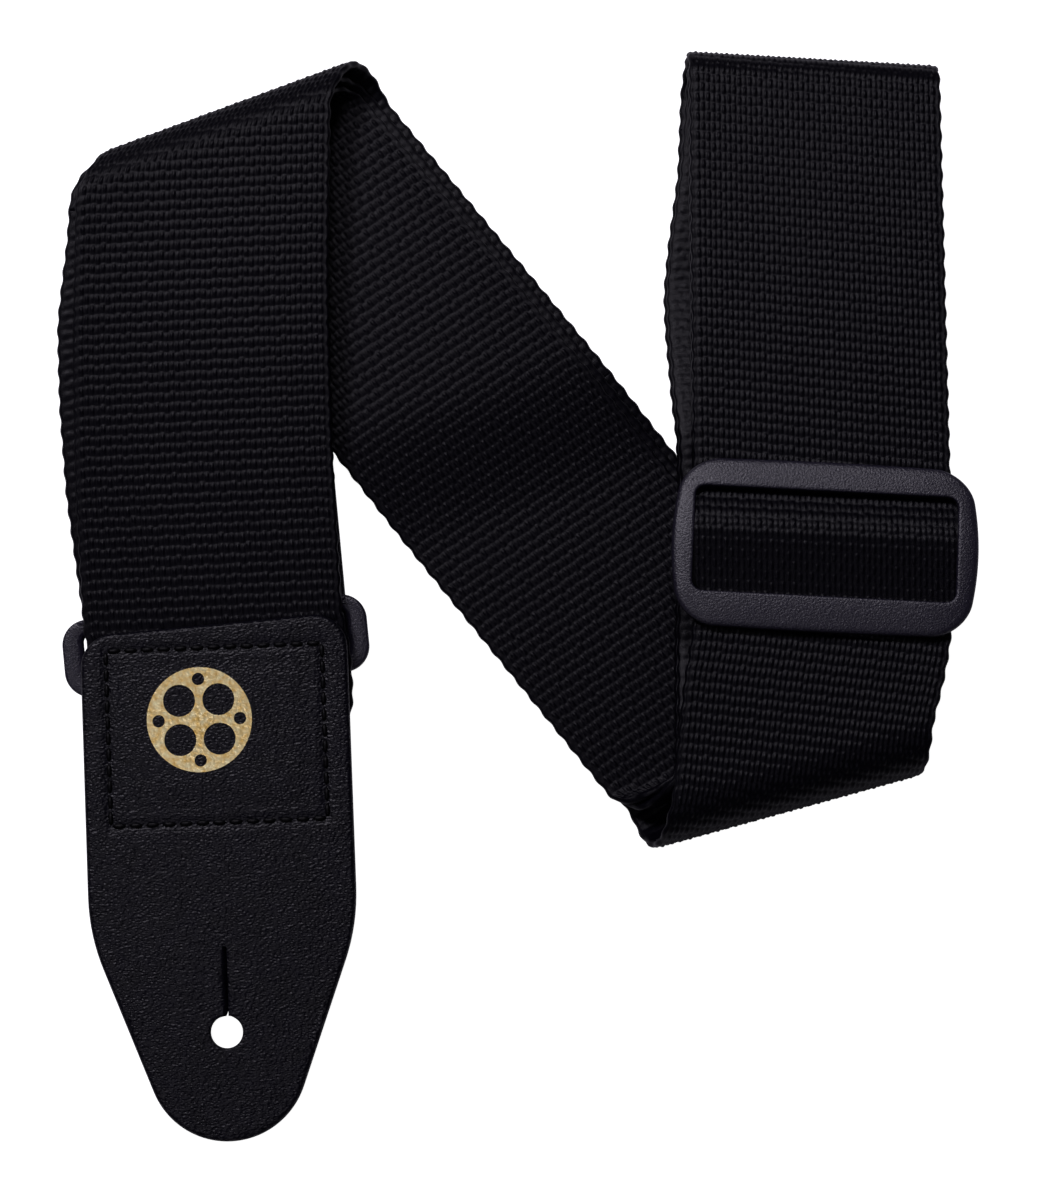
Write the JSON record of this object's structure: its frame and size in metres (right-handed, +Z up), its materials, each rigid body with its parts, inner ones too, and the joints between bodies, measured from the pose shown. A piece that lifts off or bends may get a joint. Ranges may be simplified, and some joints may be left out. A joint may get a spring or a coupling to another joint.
{
  "type": "guitar strap",
  "caption": "Two-inch webbing guitar strap folded in a Z, with leather end tabs, a slider adjuster and an end ring.",
  "frame": {"origin": "centre of the front tab's pin hole, halfway through the leather", "axes": "+X across the webbing, +Y up the front tab towards its sewn end, +Z up from the surface the strap lies on"},
  "size_m": [0.1816, 0.2192, 0.0196],
  "materials": {
    "webbing": "woven polypropylene",
    "plastic": "fine grain",
    "leather": "matte",
    "thread": "bonded nylon",
    "foil": "hot-pressed foil"
  },
  "bodies": {
    "strap": {"main_webbing": "webbing"},
    "front_end": {"front_tab": "leather", "webbing_front_end": "webbing", "front_needle_thread": "thread", "front_bobbin_thread": "thread", "foil_emblem": "foil"},
    "adjuster": {"slider": "plastic", "webbing_sewn_end": "webbing", "slider_needle_thread": "thread", "slider_bobbin_thread": "thread"},
    "end_ring": {"ring": "plastic"},
    "rear_end": {"ring_keeper": "webbing", "rear_tab": "leather", "rear_needle_thread": "thread", "rear_bobbin_thread": "thread"}
  },
  "joints": [
    {"name": "front_tab_flex", "type": "hinge", "parent": "strap", "child": "front_end", "pos_m": [-0.00316, 0.07873, 0.00985], "axis": [-0.9954, -0.0953, -0.0079], "range_deg": [0, 90]},
    {"name": "slider_slide", "type": "slide", "parent": "strap", "child": "adjuster", "axis": [0, 1, 0], "range_m": [-0.012, 0.035]},
    {"name": "ring_swing", "type": "hinge", "parent": "strap", "child": "end_ring", "pos_m": [-0.00372, 0.08137, 0.0051], "axis": [0.9949, 0.1011, 0], "range_deg": [0, 60]},
    {"name": "rear_tab_swing", "type": "hinge", "parent": "end_ring", "child": "rear_end", "pos_m": [-0.00248, 0.06923, 0.00315], "axis": [-0.9949, -0.1011, 0], "range_deg": [0, 150]}
  ],
  "couplings": [
    {"joint": "ring_swing", "follows": "rear_tab_swing", "ratio": 0.4}
  ]
}
